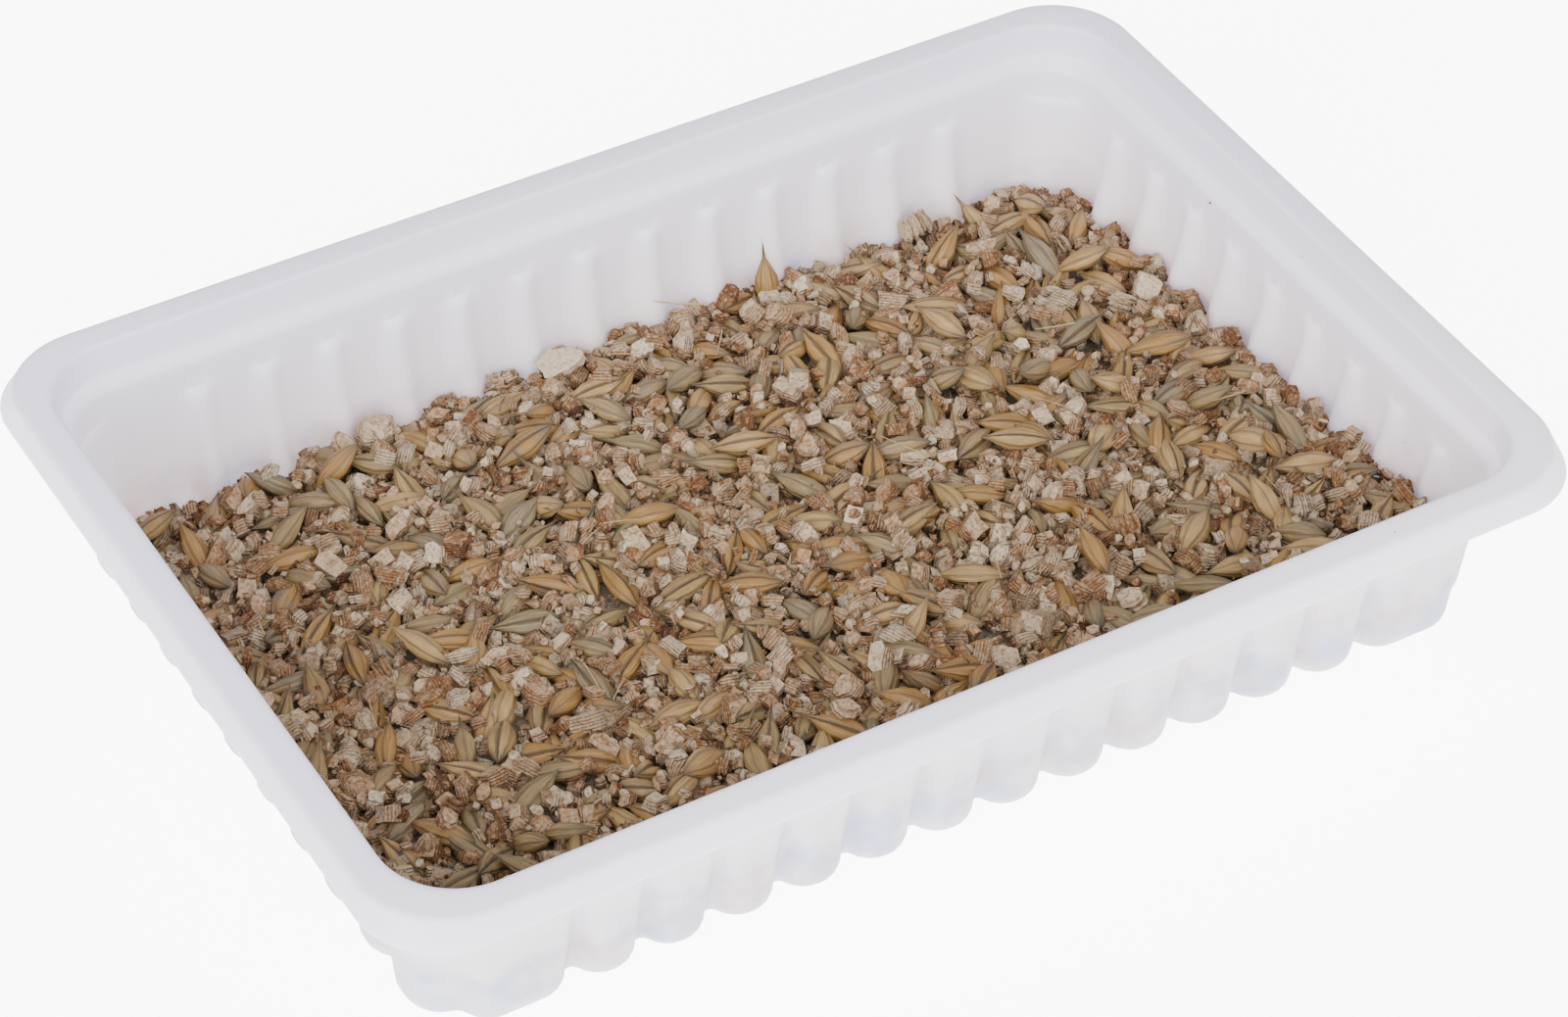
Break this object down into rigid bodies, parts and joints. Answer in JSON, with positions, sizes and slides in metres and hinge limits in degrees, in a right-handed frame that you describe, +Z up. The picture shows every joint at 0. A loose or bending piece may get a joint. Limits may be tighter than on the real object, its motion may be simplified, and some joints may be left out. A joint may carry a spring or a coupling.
{
  "type": "sown sprouting tray",
  "caption": "White plastic tray with a flat rim, skirt and ribbed walls, filled with vermiculite and sown with barley grains that have not sprouted yet.",
  "frame": {"origin": "middle of the flat underside that the tray rests on", "axes": "+X along the tray's long side, +Y along its short side towards the wall where the filling is shallowest, +Z up out of the tray"},
  "size_m": [0.186, 0.131, 0.032],
  "materials": {
    "tray_plastic": "satin, slightly translucent white polypropylene",
    "sown_bed": "dull, crumbly vermiculite flakes in cream, tan and reddish brown with straw-coloured barley husks"
  },
  "bodies": {
    "root": {"tray": "tray_plastic", "sown_bed": "sown_bed"}
  },
  "joints": []
}
